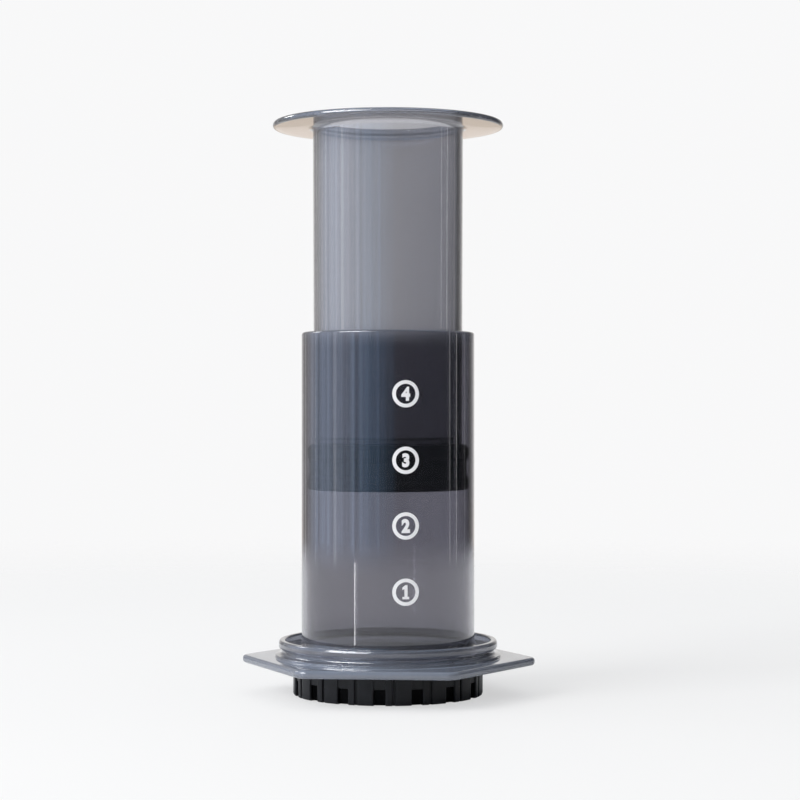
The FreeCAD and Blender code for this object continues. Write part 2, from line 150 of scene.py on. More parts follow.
# Rubber seal, a little clear of the disc and neck that it holds.
SEAL = 29.72
SEAL_CROWN = 27.9
SEAL_CROWN_EDGE = SEAL_FACE + 0.55
SEAL_CROWN_DROP = 0.53
SEAL_RELIEF = 28.85
SEAL_LIP = 28.45
SEAL_TOP = SEAL_FACE + 17.05
SEAL_PLAY = 0.1

# Printed numbers, each in a ring.
PRINT_ANGLE = -73.6
PRINT_HEIGHTS = (("1", 39.8), ("2", 63.2), ("3", 86.4), ("4", 109.9))
INK_LOW = 0.01
INK_HIGH = 0.07
INK_RING_OUTER = 4.83
INK_RING_INNER = 3.54
INK_RING_SIDES = 72
DIGIT_HEIGHT = 5.0
DIGIT_WIDTH_SHARE = 0.9
DIGIT_BOLDNESS = 0.058
DIGIT_STRIPS = 9
DIGIT_SLIVER = 0.002
LETTERING_WELD = 0.0001
LETTERING_SLIVER = 0.0005


def soft_step(low, high, value):
    """From 0 below low to 1 above high, without corners."""
    share = min(1.0, max(0.0, (value - low) / (high - low)))
    return share * share * (3 - 2 * share)


def away(angle, middle, period):
    """Distance of an angle from the nearest of evenly repeated middles."""
    return abs((angle - middle + period / 2) % period - period / 2)


def rounded(corners):
    """Outline points, with each corner (radius, height, rounding) made an arc."""
    points = []
    last = len(corners) - 1
    for index, corner in enumerate(corners):
        here = Vector(corner[:2])
        size = corner[2] if len(corner) == 3 else 0
        if not size or index in (0, last):
            points.append((here.x, here.y))
            continue
        back = (Vector(corners[index - 1][:2]) - here).normalized()
        ahead = (Vector(corners[index + 1][:2]) - here).normalized()
        opening = back.angle(ahead)
        centre = here + (back + ahead).normalized() * size / math.sin(opening / 2)
        reach = size / math.tan(opening / 2)
        first = here + back * reach - centre
        final = here + ahead * reach - centre
        turn = math.pi - opening
        for step in range(ARC_STEPS + 1):
            share = step / ARC_STEPS
            from_first = math.sin((1 - share) * turn) / math.sin(turn)
            from_final = math.sin(share * turn) / math.sin(turn)
            spot = centre + first * from_first + final * from_final
            points.append((spot.x, spot.y))
    return points


def column_angles(spacing, edges=(), spread=0.0, corners=(), reach=0.0):
    """Angles round the axis: an even spread, close ones at edges, fine ones at corners."""
    count = round(360 / spacing)
    near = [edge + offset for edge in edges for offset in
            (-spread, -spread / 3, spread / 3, spread)]
    steps = 14
    for corner in corners:
        fine = [corner + reach * step / steps for step in range(-steps, steps + 1)]
        near += [angle for angle in fine
                 if all(away(angle, edge, 360) > 2 * spread for edge in edges)]
    even = [spacing * index for index in range(count)]
    near = sorted(angle % 360 for angle in near)
    far = [angle for angle in even
           if not near or min(away(angle, other, 360) for other in near) > spacing / 4]
    return sorted(near + far)


def finished(mesh, name, material, smooth=True):
    """Turn a bmesh into an object with one material, and even normals if smooth."""
    bmesh.ops.recalc_face_normals(mesh, faces=mesh.faces)
    for face in mesh.faces:
        face.smooth = smooth
    data = bpy.data.meshes.new(name)
    mesh.to_mesh(data)
    mesh.free()
    piece = bpy.data.objects.new(name, data)
    bpy.context.scene.collection.objects.link(piece)
    data.materials.append(material)
    if smooth:
        modifier = piece.modifiers.new("even_normals", "WEIGHTED_NORMAL")
        modifier.keep_sharp = True
    return piece


def on_circle(radius, angle, height):
    """A point in metres at a radius, an angle in degrees and a height."""
    turn = math.radians(angle)
    return Vector((radius * math.cos(turn), radius * math.sin(turn), height)) * MM


def turned(profile, angles):
    """A skin round the axis, from the outline that profile gives at each angle."""
    mesh = bmesh.new()
    poles = {}
    columns = []
    for angle in angles:
        column = []
        for index, (radius, height) in enumerate(profile(angle)):
            if radius > 0:
                column.append(mesh.verts.new(on_circle(radius, angle, height)))
                continue
            if index not in poles:
                poles[index] = mesh.verts.new(on_circle(0, 0, height))
            column.append(poles[index])
        columns.append(column)
    size = len(columns[0])
    spans = size - 1 if poles or getattr(profile, "is_open", False) else size
    for here, there in zip(columns, columns[1:] + columns[:1]):
        for index in range(spans):
            following = (index + 1) % size
            corners = []
            for vertex in (here[index], there[index], there[following], here[following]):
                if vertex not in corners:
                    corners.append(vertex)
            mesh.faces.new(corners)
    return mesh


def hexagon_radius(angle, inset):
    """Radius of the inset rounded hexagon, its corners at multiples of 60 degrees."""
    apothem = PLATE_APOTHEM - inset
    corner = PLATE_CORNER - inset
    half = math.radians(SIXTH / 2)
    from_corner = math.radians(away(angle, 0, SIXTH))
    distance = (apothem - corner) / math.cos(half)
    arc_end = math.atan2(corner * math.sin(half), distance + corner * math.cos(half))
    if from_corner > arc_end:
        return apothem / math.cos(half - from_corner)
    across = distance * math.sin(from_corner)
    return distance * math.cos(from_corner) + math.sqrt(corner ** 2 - across ** 2)


def recess_points(angle):
    """Wall of the ring's recess, with the bayonet ledges and their stops."""
    ledge_edge = away(angle, 0, SIXTH)
    ledge = 1 - soft_step(LEDGE_HALF_ANGLE - LEDGE_EASE, LEDGE_HALF_ANGLE + LEDGE_EASE,
                          ledge_edge)
    stop_edge = away(angle, STOP_ANGLE, SIXTH)
    stop = 1 - soft_step(STOP_HALF_ANGLE - LEDGE_EASE, STOP_HALF_ANGLE + LEDGE_EASE,
                         stop_edge)
    heights = [RECESS_TOP + offset for offset in (-0.3, -0.5)]
    heights += [LEDGE_TOP + offset for offset in (0.5, 0.15, 0.05, -0.05, -0.15)]
    heights += [PLATE_BOTTOM + offset for offset in (0.5, RECESS_BEVEL, 0.1)]
    points = []
    for height in heights:
        under = 1 - soft_step(LEDGE_TOP - 0.1, LEDGE_TOP + 0.1, height)
        inward = max(ledge * under, stop)
        easing = max(0.0, PLATE_BOTTOM + RECESS_BEVEL - height)
        points.append((RECESS - (RECESS - LEDGE) * inward + easing, height))
    return points


def plate_edge_points(angle):
    """The rounded edge of the hexagonal flange, from its underside to its top."""
    points = []
    for lower, middle in ((True, PLATE_BOTTOM + PLATE_EDGE), (False, PLATE_TOP - PLATE_EDGE)):
        for step in range(ARC_STEPS + 1):
            share = step / ARC_STEPS
            turn = math.radians(90 * share)
            rise = -math.cos(turn) if lower else math.sin(turn)
            out = math.sin(turn) if lower else math.cos(turn)
            radius = hexagon_radius(angle, PLATE_EDGE * (1 - out))
            points.append((radius, middle + PLATE_EDGE * rise))
    return points


def brewing_tube_profile(angle):
    """Outline of the brewing tube, its ring and its flange at one angle."""
    inside = rounded((
        (BORE, LOW_WALL),
        (BORE, TUBE_END, 0.35),
        (TUBE, TUBE_END, 0.5),
        (TUBE, RECESS_TOP, 0.3),
        (RECESS, RECESS_TOP)))
    outside = rounded((
        (PLATE_START, PLATE_TOP),
        (SKIRT + 0.2, PLATE_TOP, 0.35),
        (SKIRT, SKIRT_TOP, 0.35),
        (WAIST_FOOT, WAIST_BOTTOM, 1.2),
        (WAIST, WAIST_TOP, 0.35),
        (RING, BEAD_BOTTOM, 0.7),
        (RING, BEAD_TOP, 0.6),
        (RING - 0.4, LIP_TOP, 0.8),
        (LIP_INNER, LIP_TOP, 0.6),
        (LIP_INNER - 0.1, MOAT_FLOOR, 0.8),
        (TUBE, MOAT_FLOOR, MOAT_ROUND),
        (TUBE, LOW_WALL)))
    rim = rounded((
        (TUBE, HIGH_WALL),
        (TUBE, RIM, 0.9),
        (BORE, RIM, 0.9),
        (BORE, HIGH_WALL)))
    wall = recess_points(angle)
    edge = plate_edge_points(angle)
    return inside[:-1] + [(RECESS - 0.1, RECESS_TOP)] + wall + edge + outside + rim


def within(half_angle, angle, middle, period):
    """One near each of evenly repeated middles, zero beyond a half angle from them."""
    return 1 - soft_step(half_angle - CAP_SLANT, half_angle + CAP_SLANT,
                         away(angle, middle, period))


def below(top, height):
    """One below a height, zero above it."""
    return 1 - soft_step(top - CAP_SLANT, top + CAP_SLANT, height)


def cap_radius_at(angle, height):
    """Outer radius of the filter cap, with its grip and its bayonet lugs."""
    period = 360 / WINDOWS
    window = within(WINDOW_HALF_ANGLE, angle, 0, period)
    groove = within(GROOVE_HALF_ANGLE, angle, GROOVE_TURN, period)
    lug = within(LUG_HALF_ANGLE, angle, 0, SIXTH)
    grip = below(GRIP_TOP, height)
    band = BAND_DEPTH * window * grip
    depth = band + (WINDOW_DEPTH - BAND_DEPTH) * window * below(WINDOW_TOP, height)
    depth = max(depth, GROOVE_DEPTH * groove * grip)
    lug_height = soft_step(LUG_BOTTOM - 0.02, LUG_BOTTOM + 0.08, height)
    easing = max(0.0, CAP_FOOT_ROUND - height)
    chord = math.sqrt(max(0.0, CAP_FOOT_ROUND * CAP_FOOT_ROUND - easing * easing))
    bottom = CAP_FOOT_ROUND - chord
    top = max(0.0, height - CAP_TOP + CAP_TOP_BEVEL)
    return CAP - depth + (LUG - CAP) * lug * lug_height - bottom - top


def cap_heights():
    """Heights of the cap's outside points, close together where its radius changes."""
    heights = [share * CAP_FOOT_ROUND for share in (0, 0.08, 0.24, 0.5, 1)]
    for middle in (WINDOW_TOP, GRIP_TOP):
        heights += [middle + offset for offset in (-0.14, -0.05, 0.05, 0.14)]
    heights += [LUG_BOTTOM + offset for offset in (-0.06, -0.01, 0.04, 0.1)]
    return heights + [CAP_TOP - offset for offset in (0.3, 0.18, 0.08, 0)]


def cap_profile(angle):
    """Outline of the filter cap's wall and foot, from its floor's underside up."""
    foot = rounded((
        (PERFORATED, CAP_FLOOR_BOTTOM),
        (CAP_FOOT, CAP_FLOOR_BOTTOM, 0.3),
        (CAP_FOOT, 0, 0.25),
        (CAP, 0)))
    wall = [(cap_radius_at(angle, height), height) for height in cap_heights()]
    inside = rounded((
        (CAP, CAP_TOP),
        (CAP_INNER, CAP_TOP, 0.3),
        (CAP_INNER, CAP_FLOOR_TOP, 0.15),
        (PERFORATED, CAP_FLOOR_TOP)))
    return foot[:-1] + wall + inside[1:]


cap_profile.is_open = True


def hole_centres():
    """The middle hole and the rings of holes round it, six more in each ring."""
    centres = [Vector((0, 0))]
    for ring in range(1, HOLE_RINGS + 1):
        for place in range(6 * ring):
            turn = 2 * math.pi * place / (6 * ring)
            centres.append(Vector((math.cos(turn), math.sin(turn))) * HOLE_PITCH * ring)
    return centres


def hole_loop(centre, radius, height):
    """Points in metres round one hole."""
    points = []
    for side in range(HOLE_SIDES):
        turn = 2 * math.pi * side / HOLE_SIDES
        spot = centre + Vector((math.cos(turn), math.sin(turn))) * radius
        points.append(Vector((spot.x, spot.y, height)) * MM)
    return points


def join_loops(mesh, first, second):
    """A band of faces between two closed loops of vertices."""
    count = len(first)
    for side in range(count):
        after = (side + 1) % count
        mesh.faces.new((first[side], first[after], second[after], second[side]))


def add_perforated_floor(mesh, angles):
    """The cap's floor inside its wall, with round holes bevelled at both ends."""
    loops = [[on_circle(PERFORATED, angle, 0) for angle in angles]]
    loops += [hole_loop(centre, HOLE + HOLE_BEVEL, 0) for centre in hole_centres()]
    flat = [point for loop in loops for point in loop]
    triangles = tessellate_polygon(loops)
    sheets = []
    for height in (CAP_FLOOR_BOTTOM, CAP_FLOOR_TOP):
        verts = [mesh.verts.new(point + Vector((0, 0, height * MM))) for point in flat]
        for triangle in triangles:
            mesh.faces.new([verts[index] for index in triangle])
        sheets.append(verts)
    start = len(angles)
    for centre in hole_centres():
        rings = [sheets[0][start:start + HOLE_SIDES]]
        for height in (CAP_FLOOR_BOTTOM + HOLE_BEVEL, CAP_FLOOR_TOP - HOLE_BEVEL):
            rings.append([mesh.verts.new(spot) for spot in hole_loop(centre, HOLE, height)])
        rings.append(sheets[1][start:start + HOLE_SIDES])
        for lower, upper in zip(rings, rings[1:]):
            join_loops(mesh, lower, upper)
        start += HOLE_SIDES
    bmesh.ops.remove_doubles(mesh, verts=mesh.verts, dist=WELD)


def crown(inner, outer, height, rise, steps):
    """Points along a shallow dome, from the middle out, above or below a height."""
    points = []
    for step in range(steps + 1):
        share = step / steps
        points.append((inner + (outer - inner) * share, height + rise * (1 - share * share)))
    return points


def plunger_profile(_angle):
    """Outline of the plunger from its lower face round to its inner floor."""
    lower = rounded((
        (0, DISC_BOTTOM),
        (DISC, DISC_BOTTOM, 0.5),
        (DISC, DISC_TOP, 0.5),
        (NECK, DISC_TOP, 0.3),
        (NECK, SHOULDER, 0.4),
        (PLUNGER_FOOT, SHOULDER, 0.8),
        (PLUNGER, FLANGE_BOTTOM, 1.7),
        (FLANGE, FLANGE_BOTTOM, 0.85),
        (FLANGE - 0.02, FLANGE_EDGE, 1.25),
        (FLANGE_DOME_OUTER + 0.5, FLANGE_SLOPE)))
    dome = crown(FLANGE_DOME_INNER, FLANGE_DOME_OUTER, FLANGE_SLOPE + 0.04,
                 FLANGE_DOME_RISE, 6)
    mouth = rounded((
        (FLANGE_DOME_INNER, FLANGE_TOP),
        (PLUNGER_MOUTH, FLANGE_TOP, 0.75),
        (PLUNGER_BORE, INNER_SHOULDER, 0.9),
        (NECK_BORE, INNER_SHOULDER, 0.6),
        (NECK_BORE, DISC_TOP, 0.6),
        (0, DISC_TOP)))
    return lower[:-1] + dome[::-1] + mouth[1:]


def seal_profile(_angle):
    """Outline of the rubber seal from its face round to its pocket's floor."""
    hole = NECK + SEAL_PLAY
    pocket = DISC + SEAL_PLAY
    pocket_floor = DISC_BOTTOM - SEAL_PLAY
    pocket_top = DISC_TOP + SEAL_PLAY
    face = crown(0, SEAL_CROWN, SEAL_CROWN_EDGE, -SEAL_CROWN_DROP, 10)
    body = rounded((
        (SEAL_CROWN, SEAL_CROWN_EDGE),
        (SEAL, SEAL_FACE + 0.95, 1.0),
        (SEAL, SEAL_FACE + 4.6, 0.5),
        (SEAL_RELIEF, SEAL_FACE + 6.2, 0.8),
        (SEAL_RELIEF, SEAL_FACE + 10.9, 0.8),
        (SEAL, SEAL_FACE + 12.5, 0.6),
        (SEAL, SEAL_FACE + 15.5, 0.6),
        (SEAL_LIP, SEAL_TOP, 0.5),
        (hole, SEAL_TOP, 0.3),
        (hole, pocket_top, 0.2),
        (pocket, pocket_top, 0.2),
        (pocket, pocket_floor, 0.2),
        (0, pocket_floor)))
    return face[:-1] + body


def paper_profile(angle):
    """Outline of the paper filter, its edge a little uneven."""
    turn = math.radians(angle)
    wobble = 0.06 * math.sin(9 * turn) + 0.04 * math.sin(23 * turn + 1)
    edge = PAPER - 0.12 + wobble
    inner = 15
    return [(0, PAPER_BOTTOM), (inner, PAPER_BOTTOM),
            (edge - 1, PAPER_BOTTOM), (edge, PAPER_BOTTOM + 0.04),
            (edge, PAPER_TOP - 0.04), (edge - 1, PAPER_TOP),
            (inner, PAPER_TOP), (0, PAPER_TOP)]


def bent_to_tube(place, sideways, upwards, proud):
    """A point of the print, bent round the tube about the print's middle angle."""
    middle, height = place
    angle = middle + math.degrees(sideways / TUBE)
    return on_circle(TUBE + proud, angle, height + upwards)


def add_ink_ring(mesh, place):
    """A printed ring on the tube."""
    middle = (INK_RING_INNER + INK_RING_OUTER) / 2
    loops = []
    for radius, proud in ((INK_RING_INNER, INK_LOW), (INK_RING_INNER, INK_HIGH),
                          (middle, INK_HIGH), (INK_RING_OUTER, INK_HIGH),
                          (INK_RING_OUTER, INK_LOW), (middle, INK_LOW)):
        loop = []
        for side in range(INK_RING_SIDES):
            turn = 2 * math.pi * side / INK_RING_SIDES
            across = radius * math.cos(turn)
            along = radius * math.sin(turn)
            loop.append(mesh.verts.new(bent_to_tube(place, across, along, proud)))
        loops.append(loop)
    for first, second in zip(loops, loops[1:] + loops[:1]):
        join_loops(mesh, first, second)


def drawn_one():
    """A flat mesh of a heavy one with a flag and a foot."""
    outline = ((-0.26, 0), (0.28, 0), (0.28, 0.17), (0.15, 0.17), (0.15, 1), (-0.05, 1),
               (-0.26, 0.83), (-0.26, 0.66), (-0.10, 0.72), (-0.10, 0.17), (-0.26, 0.17))
    sheet = bmesh.new()
    points = [Vector((across, along, 0)) for across, along in outline]
    verts = [sheet.verts.new(point) for point in points]
    for triangle in tessellate_polygon([points]):
        sheet.faces.new([verts[index] for index in triangle])
    return sheet


def written(text):
    """A flat mesh of one digit in the built-in lettering."""
    curve = bpy.data.curves.new("digit", "FONT")
    curve.body = text
    curve.offset = DIGIT_BOLDNESS
    curve.resolution_u = 8
    writer = bpy.data.objects.new("digit", curve)
    bpy.context.scene.collection.objects.link(writer)
    graph = bpy.context.evaluated_depsgraph_get()
    data = bpy.data.meshes.new_from_object(writer.evaluated_get(graph))
    bpy.data.objects.remove(writer)
    sheet = bmesh.new()
    sheet.from_mesh(data)
    bpy.data.meshes.remove(data)
    bmesh.ops.remove_doubles(sheet, verts=sheet.verts, dist=LETTERING_WELD)
    bmesh.ops.dissolve_degenerate(sheet, dist=LETTERING_SLIVER, edges=sheet.edges)
    return sheet


def digit_sheet(text):
    """A flat mesh of one digit, centred, cut into narrow upright strips."""
    sheet = drawn_one() if text == "1" else written(text)
    low = Vector((min(v.co.x for v in sheet.verts), min(v.co.y for v in sheet.verts)))
    high = Vector((max(v.co.x for v in sheet.verts), max(v.co.y for v in sheet.verts)))
    scale = DIGIT_HEIGHT / (high.y - low.y)
    for vertex in sheet.verts:
        vertex.co.x = (vertex.co.x - (low.x + high.x) / 2) * scale * DIGIT_WIDTH_SHARE
        vertex.co.y = (vertex.co.y - (low.y + high.y) / 2) * scale
    half = (high.x - low.x) * scale * DIGIT_WIDTH_SHARE / 2
    for strip in range(1, DIGIT_STRIPS):
        across = -half + 2 * half * strip / DIGIT_STRIPS
        everything = sheet.verts[:] + sheet.edges[:] + sheet.faces[:]
        bmesh.ops.bisect_plane(sheet, geom=everything, plane_co=(across, 0, 0),
                               plane_no=(1, 0, 0))
    bmesh.ops.dissolve_degenerate(sheet, dist=DIGIT_SLIVER, edges=sheet.edges)
    bmesh.ops.triangulate(sheet, faces=sheet.faces)
    bmesh.ops.dissolve_degenerate(sheet, dist=DIGIT_SLIVER, edges=sheet.edges)
    return sheet


def add_ink_digit(mesh, text, place):
    """A printed digit on the tube, as thick as the ink."""
    sheet = digit_sheet(text)
    sheet.verts.ensure_lookup_table()
    tops = []
    bottoms = []
    for vertex in sheet.verts:
        across, along = vertex.co.x, vertex.co.y
        tops.append(mesh.verts.new(bent_to_tube(place, across, along, INK_HIGH)))
        bottoms.append(mesh.verts.new(bent_to_tube(place, across, along, INK_LOW)))
    for face in sheet.faces:
        mesh.faces.new([tops[v.index] for v in face.verts])
        mesh.faces.new([bottoms[v.index] for v in reversed(face.verts)])
    for edge in sheet.edges:
        if edge.is_boundary:
            first, second = (v.index for v in edge.verts)
            mesh.faces.new((tops[first], tops[second], bottoms[second], bottoms[first]))
    sheet.free()


# Materials. Lengths in them are in metres.

SMOKE_DENSITY = 40.0
SMOKE_COLOUR = (0.10, 0.12, 0.22, 1)
TUBE_TINT = (0.408, 0.402, 0.440)
PLUNGER_TINT = (0.592, 0.588, 0.615)
RING_TINT = (0.40, 0.435, 0.515)
FLANGE_TINT = (0.74, 0.77, 0.84)


def new_material(name):
    """A material with its shader and object coordinates ready."""
    material = bpy.data.materials.new(name)
    material.use_nodes = True
    tree = material.node_tree
    shader = tree.nodes["Principled BSDF"]
    coordinates = tree.nodes.new("ShaderNodeTexCoord").outputs["Object"]
    return material, tree, shader, coordinates


def stretched(tree, coordinates, scale):
    """Coordinates scaled differently along each axis."""
    mapping = tree.nodes.new("ShaderNodeMapping")
    mapping.inputs["Scale"].default_value = scale
    tree.links.new(coordinates, mapping.inputs["Vector"])
    return mapping.outputs["Vector"]


def noise(tree, coordinates, scale, detail, roughness):
    """A noise value from 0 to 1."""
    node = tree.nodes.new("ShaderNodeTexNoise")
    node.inputs["Scale"].default_value = scale
    node.inputs["Detail"].default_value = detail
    node.inputs["Roughness"].default_value = roughness
    tree.links.new(coordinates, node.inputs["Vector"])
    return node.outputs["Fac"]


def ranged(tree, value, source, target, soft=False):
    """A value carried from one range to another, straight or with soft ends."""
    node = tree.nodes.new("ShaderNodeMapRange")
    node.interpolation_type = "SMOOTHSTEP" if soft else "LINEAR"
    node.inputs["From Min"].default_value = source[0]
    node.inputs["From Max"].default_value = source[1]
    node.inputs["To Min"].default_value = target[0]
    node.inputs["To Max"].default_value = target[1]
    tree.links.new(value, node.inputs["Value"])
    return node.outputs["Result"]


def mixed(tree, kind, factor, first, second):
    """What lies between two colours or values, each given or linked, by a factor."""
    node = tree.nodes.new("ShaderNodeMix")
    node.data_type = kind
    outcome = "VALUE" if kind == "FLOAT" else "RGBA"
    for name, value, sort in (("Factor", factor, "VALUE"), ("A", first, outcome),
                              ("B", second, outcome)):
        socket = next(socket for socket in node.inputs
                      if socket.name == name and socket.type == sort and socket.enabled)
        if isinstance(value, (tuple, list)):
            socket.default_value = (*value, 1)
        else:
            tree.links.new(value, socket)
    return next(socket for socket in node.outputs if socket.type == outcome)


def math_node(tree, operation, first, second):
    """The result of one sum on values or links."""
    node = tree.nodes.new("ShaderNodeMath")
    node.operation = operation
    for socket, value in zip(node.inputs, (first, second)):
        if isinstance(value, (int, float)):
            socket.default_value = value
        else:
            tree.links.new(value, socket)
    return node.outputs["Value"]


def bumped(tree, height, distance, strength, under=None):
    """A normal raised by a height."""
    node = tree.nodes.new("ShaderNodeBump")
    node.inputs["Distance"].default_value = distance
    node.inputs["Strength"].default_value = strength
    tree.links.new(height, node.inputs["Height"])
    if under is not None:
        tree.links.new(under, node.inputs["Normal"])
    return node.outputs["Normal"]


def radial(tree, coordinates):
    """Distance from the axis, and height."""
    axes = tree.nodes.new("ShaderNodeSeparateXYZ")
    tree.links.new(coordinates, axes.inputs["Vector"])
    x, y, z = (axes.outputs[axis] for axis in "XYZ")
    square = math_node(tree, "ADD", math_node(tree, "MULTIPLY", x, x),
                       math_node(tree, "MULTIPLY", y, y))
    return math_node(tree, "SQRT", square, 0), z


def smoky_plastic(name, tint, milky_tint, shares, thickness):
    """See-through smoky plastic with moulding streaks, milkier where it is thick."""
    material, tree, shader, coordinates = new_material(name)
    upright = stretched(tree, coordinates, (1, 1, 0.02))
    streaks = noise(tree, upright, 420, 2.0, 0.6)
    flow = noise(tree, stretched(tree, coordinates, (1, 1, 0.3)), 60, 2.0, 0.5)
    grain = noise(tree, coordinates, 2600, 2.0, 0.5)
    lines = math_node(tree, "ADD", math_node(tree, "MULTIPLY", streaks, 0.6),
                      math_node(tree, "MULTIPLY", flow, 0.4))
    shade = ranged(tree, lines, (0.35, 0.65), (0, 1))
    clear = mixed(tree, "RGBA", shade, tint, [0.92 * part for part in tint])
    milky = mixed(tree, "RGBA", shade, milky_tint, [0.94 * part for part in milky_tint])
    thick = thickness(tree, coordinates)
    tree.links.new(mixed(tree, "RGBA", thick, clear, milky), shader.inputs["Base Color"])
    tree.links.new(ranged(tree, thick, (0, 1), shares),
                   shader.inputs["Transmission Weight"])
    tree.links.new(ranged(tree, lines, (0.3, 0.7), (0.03, 0.06)), shader.inputs["Roughness"])
    shader.inputs["IOR"].default_value = 1.5
    shader.inputs["Coat Weight"].default_value = 0.25
    shader.inputs["Coat Roughness"].default_value = 0.03
    wall = math_node(tree, "SUBTRACT", 1, thick)
    wavy = bumped(tree, flow, 0.000004, 0.4)
    streaky = bumped(tree, math_node(tree, "MULTIPLY", streaks, wall), 0.00002, 0.5, wavy)
    fine = bumped(tree, grain, 0.000002, 0.4, streaky)
    tree.links.new(fine, shader.inputs["Normal"])
    absorption = tree.nodes.new("ShaderNodeVolumeAbsorption")
    absorption.inputs["Color"].default_value = SMOKE_COLOUR
    absorption.inputs["Density"].default_value = SMOKE_DENSITY
    tree.links.new(absorption.outputs["Volume"], tree.nodes["Material Output"].inputs["Volume"])
    return material


def thick_ring(tree, coordinates):
    """One on the hexagonal flange, less on the ring, little at the tube's foot and rim."""
    out, height = radial(tree, coordinates)
    away_from_tube = ranged(tree, out, (0.0325, 0.0365), (0, 1))
    lower = ranged(tree, height, (0.0148, 0.0137), (0.45, 1))
    ring = math_node(tree, "MULTIPLY", away_from_tube, lower)
    foot = ranged(tree, height, (0.0255, 0.0215), (0, 0.3))
    rim = ranged(tree, height, (0.1265, 0.1325), (0, 0.3))
    return math_node(tree, "MAXIMUM", math_node(tree, "MAXIMUM", ring, foot), rim)


def thick_flange(tree, coordinates):
    """One on the plunger's flange, little where it meets the tube, zero on the tube."""
    out, height = radial(tree, coordinates)
    return math_node(tree, "MULTIPLY", ranged(tree, out, (0.0385, 0.0412), (0.12, 1)),
                     ranged(tree, height, (0.204, 0.207), (0, 1)))


def black_plastic(name):
    """Satin black plastic, finely eroded and slightly rubbed, with painted shade in its hollows:
    a darker colour and no coat there.
    """
    material, tree, shader, coordinates = new_material(name)
    grain = noise(tree, coordinates, 5200, 3.0, 0.6)
    wear = noise(tree, coordinates, 180, 4.0, 0.6)
    rubbed = ranged(tree, wear, (0.35, 0.75), (0, 1))
    worn = mixed(tree, "RGBA", rubbed, (0.007, 0.0073, 0.0087), (0.012, 0.0124, 0.0148))
    # Painted shade: the windows and grooves, inside the radius where the raised mask falls to
    # zero, get a colour far darker than the ribs, standing in for the shade in the hollows.
    hollow_painted_shade = mixed(tree, "RGBA", rubbed, (0.0008, 0.0008, 0.001), (0.0012, 0.0012, 0.0014))
    out = radial(tree, coordinates)[0]
    raised = ranged(tree, out, (0.0334, 0.0342), (0, 1))
    tree.links.new(mixed(tree, "RGBA", raised, hollow_painted_shade, worn), shader.inputs["Base Color"])
    rough = ranged(tree, wear, (0.3, 0.7), (0.40, 0.50))
    tree.links.new(rough, shader.inputs["Roughness"])
    shader.inputs["Specular IOR Level"].default_value = 0.06
    shader.inputs["Coat Roughness"].default_value = 0.3
    # Painted shade as well: the coat fades out in the hollows, so they reflect less, as if
    # shaded.
    tree.links.new(ranged(tree, raised, (0, 1), (0.0, 0.36)), shader.inputs["Coat Weight"])
    tree.links.new(bumped(tree, grain, 0.00002, 0.5), shader.inputs["Normal"])
    return material


def black_rubber(name):
    """Soft black rubber with a dull bloom."""
    material, tree, shader, coordinates = new_material(name)
    grain = noise(tree, coordinates, 3400, 4.0, 0.6)
    bloom = noise(tree, coordinates, 90, 3.0, 0.5)
    colour = mixed(tree, "RGBA", ranged(tree, bloom, (0.3, 0.7), (0, 1)),
                   (0.004, 0.004, 0.005), (0.009, 0.009, 0.010))
    tree.links.new(colour, shader.inputs["Base Color"])
    rough = ranged(tree, bloom, (0.3, 0.7), (0.5, 0.68))
    tree.links.new(rough, shader.inputs["Roughness"])
    shader.inputs["Sheen Weight"].default_value = 0.08
    tree.links.new(bumped(tree, grain, 0.00003, 0.45), shader.inputs["Normal"])
    return material


def filter_paper(name):
    """Pale paper with fibres that cross."""
    material, tree, shader, coordinates = new_material(name)
    fibres = noise(tree, stretched(tree, coordinates, (1, 0.25, 1)), 2400, 5.0, 0.7)
    cross = noise(tree, stretched(tree, coordinates, (0.25, 1, 1)), 1900, 5.0, 0.7)
    felt = math_node(tree, "MULTIPLY", fibres, cross)
    colour = mixed(tree, "RGBA", ranged(tree, felt, (0.12, 0.4), (0, 1)),
                   (0.70, 0.66, 0.58), (0.84, 0.81, 0.75))
    tree.links.new(colour, shader.inputs["Base Color"])
    rough = ranged(tree, felt, (0.1, 0.4), (0.82, 0.95))
    tree.links.new(rough, shader.inputs["Roughness"])
    tree.links.new(bumped(tree, felt, 0.00006, 0.8), shader.inputs["Normal"])
    return material


def white_ink(name):
    """Printed white ink with a slightly grainy film."""
    material, tree, shader, coordinates = new_material(name)
    grain = noise(tree, coordinates, 4200, 3.0, 0.6)
    colour = mixed(tree, "RGBA", ranged(tree, grain, (0.3, 0.7), (0, 1)),
                   (0.84, 0.84, 0.86), (0.92, 0.92, 0.94))
    tree.links.new(colour, shader.inputs["Base Color"])
    rough = ranged(tree, grain, (0.3, 0.7), (0.38, 0.52))
    tree.links.new(rough, shader.inputs["Roughness"])
    tree.links.new(bumped(tree, grain, 0.00001, 0.5), shader.inputs["Normal"])
    return material


# Stage, light and camera, in metres.

CAMERA_TURN = 5.0
CAMERA_DISTANCE = 0.78
CAMERA_HEIGHT = 0.106
FOCAL_LENGTH = 95.4
WHITE = 0.94
FLOOR_GREY = (0.865, 0.865, 0.86, 1)
FLOOR_RADIUS = 1.0
FLOOR_DROP = 0.0002
BLUE_LEFT = (0.76, 0.92, 1.2)
BLUE_RIGHT = (0.5, 0.84, 1.3)
PALE_HIGH = (1.0, 0.98, 0.96)
WARM_LOW = (1.0, 0.85, 0.71)
SOFT_WHITE = (0.99, 1.0, 1.02, 1)
STRIP_DISTANCE = 0.7
STRIP_HEIGHT = 0.16
STRIP_LENGTH = 0.55


def around(azimuth, distance, height):
    """A place seen from the axis at an azimuth to the right of the camera's side."""
    turn = math.radians(CAMERA_TURN - 90 + azimuth)
    return Vector((math.cos(turn) * distance, math.sin(turn) * distance, height))


